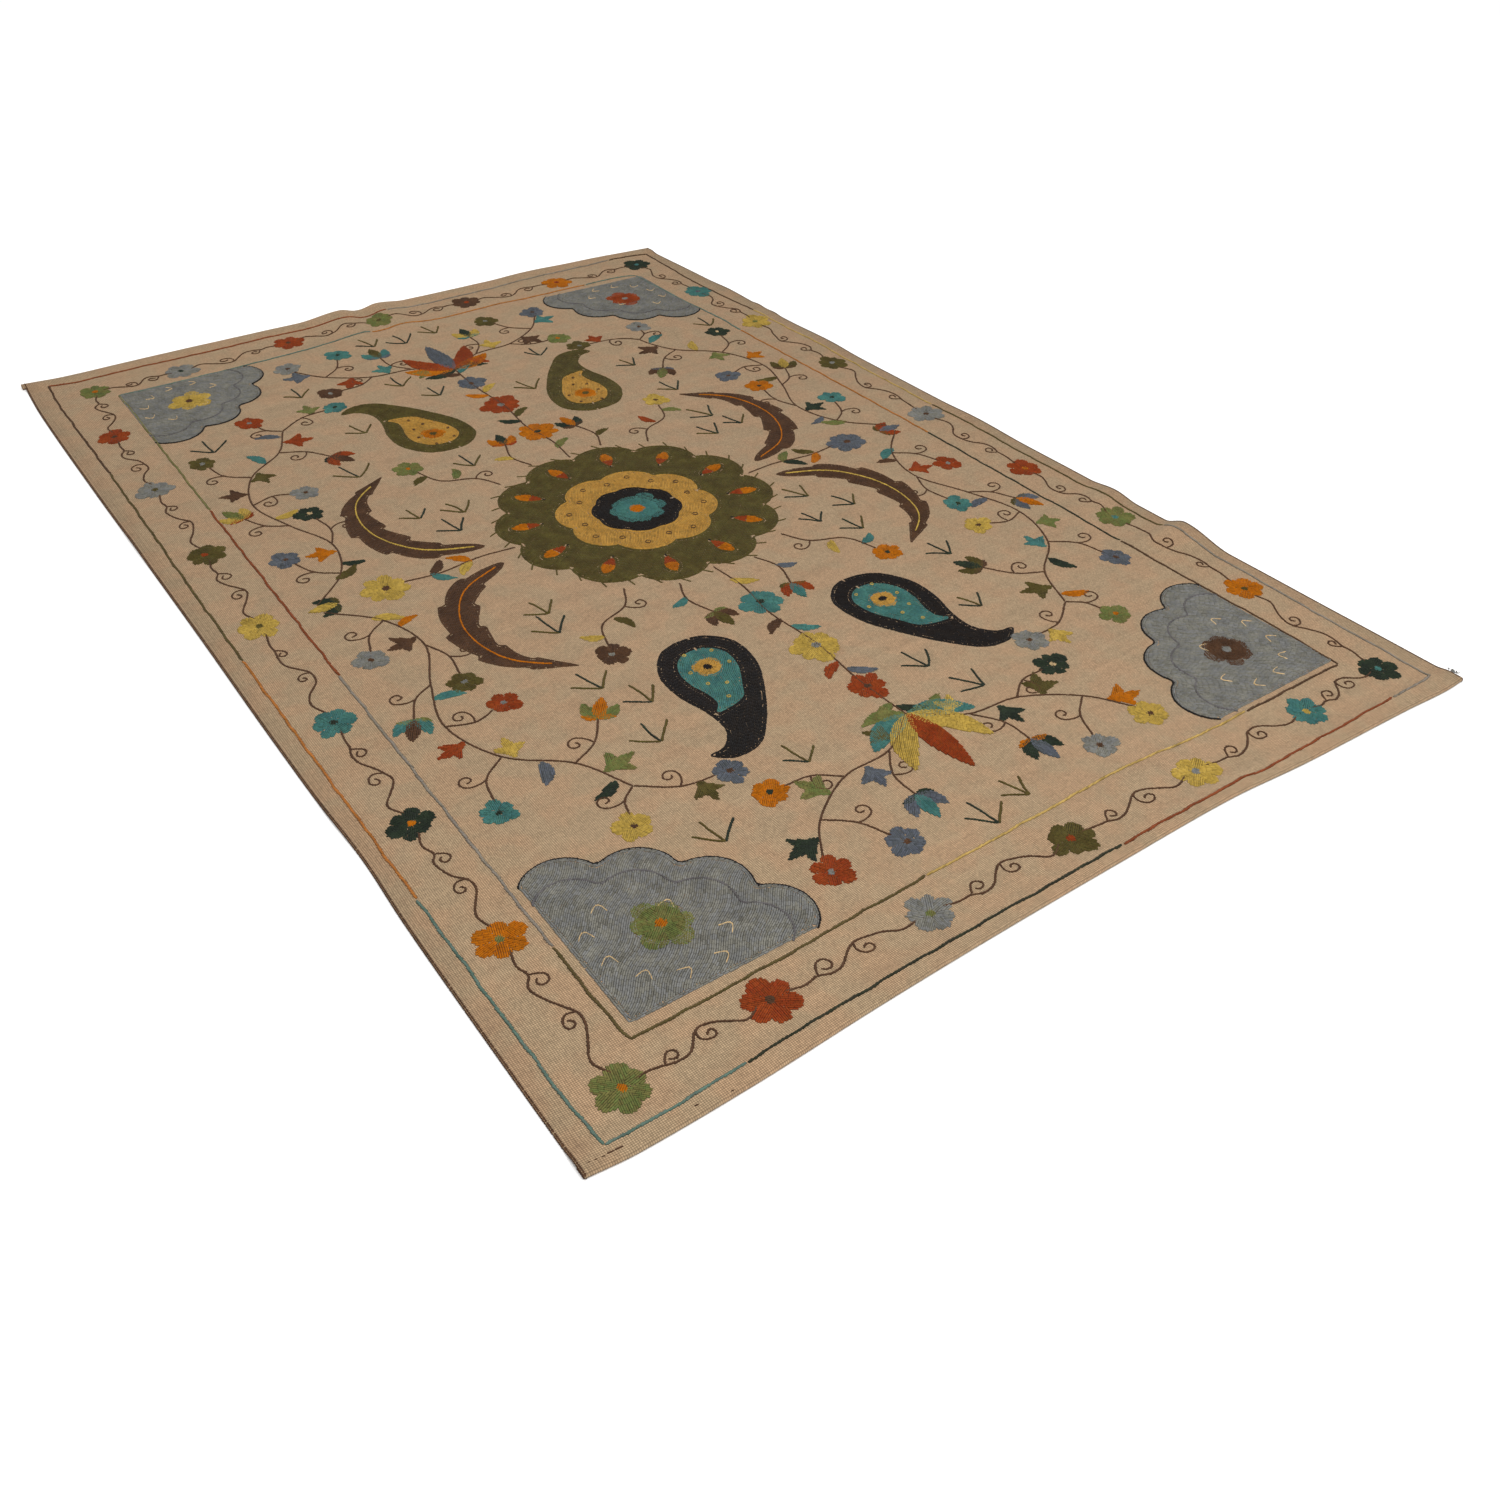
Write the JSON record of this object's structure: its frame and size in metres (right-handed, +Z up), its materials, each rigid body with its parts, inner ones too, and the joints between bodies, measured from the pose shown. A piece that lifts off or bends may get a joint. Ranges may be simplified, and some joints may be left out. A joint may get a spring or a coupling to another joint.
{
  "type": "embroidered kilim rug",
  "caption": "Flat-woven wool rug lying on the floor, with hemmed short ends, soft edge ripples, a stitched flower and vine border between coloured lines, and an embroidered field.",
  "frame": {"origin": "on the floor, under the middle of the rug's outline", "axes": "+X across the rug along its short side, +Y along its long side, +Z up out of its face"},
  "size_m": [1.2408, 1.8862, 0.0143],
  "materials": {
    "woven_wool": "matt beige wool weave with fine ribs",
    "brown_yarn": "matt wool embroidery yarn",
    "black_yarn": "matt wool embroidery yarn",
    "olive_yarn": "matt wool embroidery yarn",
    "light_green_yarn": "matt wool embroidery yarn",
    "dark_green_yarn": "matt wool embroidery yarn",
    "turquoise_yarn": "matt wool embroidery yarn",
    "slate_yarn": "matt wool embroidery yarn",
    "blue_yarn": "matt wool embroidery yarn",
    "rust_yarn": "matt wool embroidery yarn",
    "orange_yarn": "matt wool embroidery yarn",
    "gold_yarn": "matt wool embroidery yarn",
    "yellow_yarn": "matt wool embroidery yarn"
  },
  "bodies": {
    "root": {"ground_cloth": "woven_wool"}
  },
  "joints": []
}
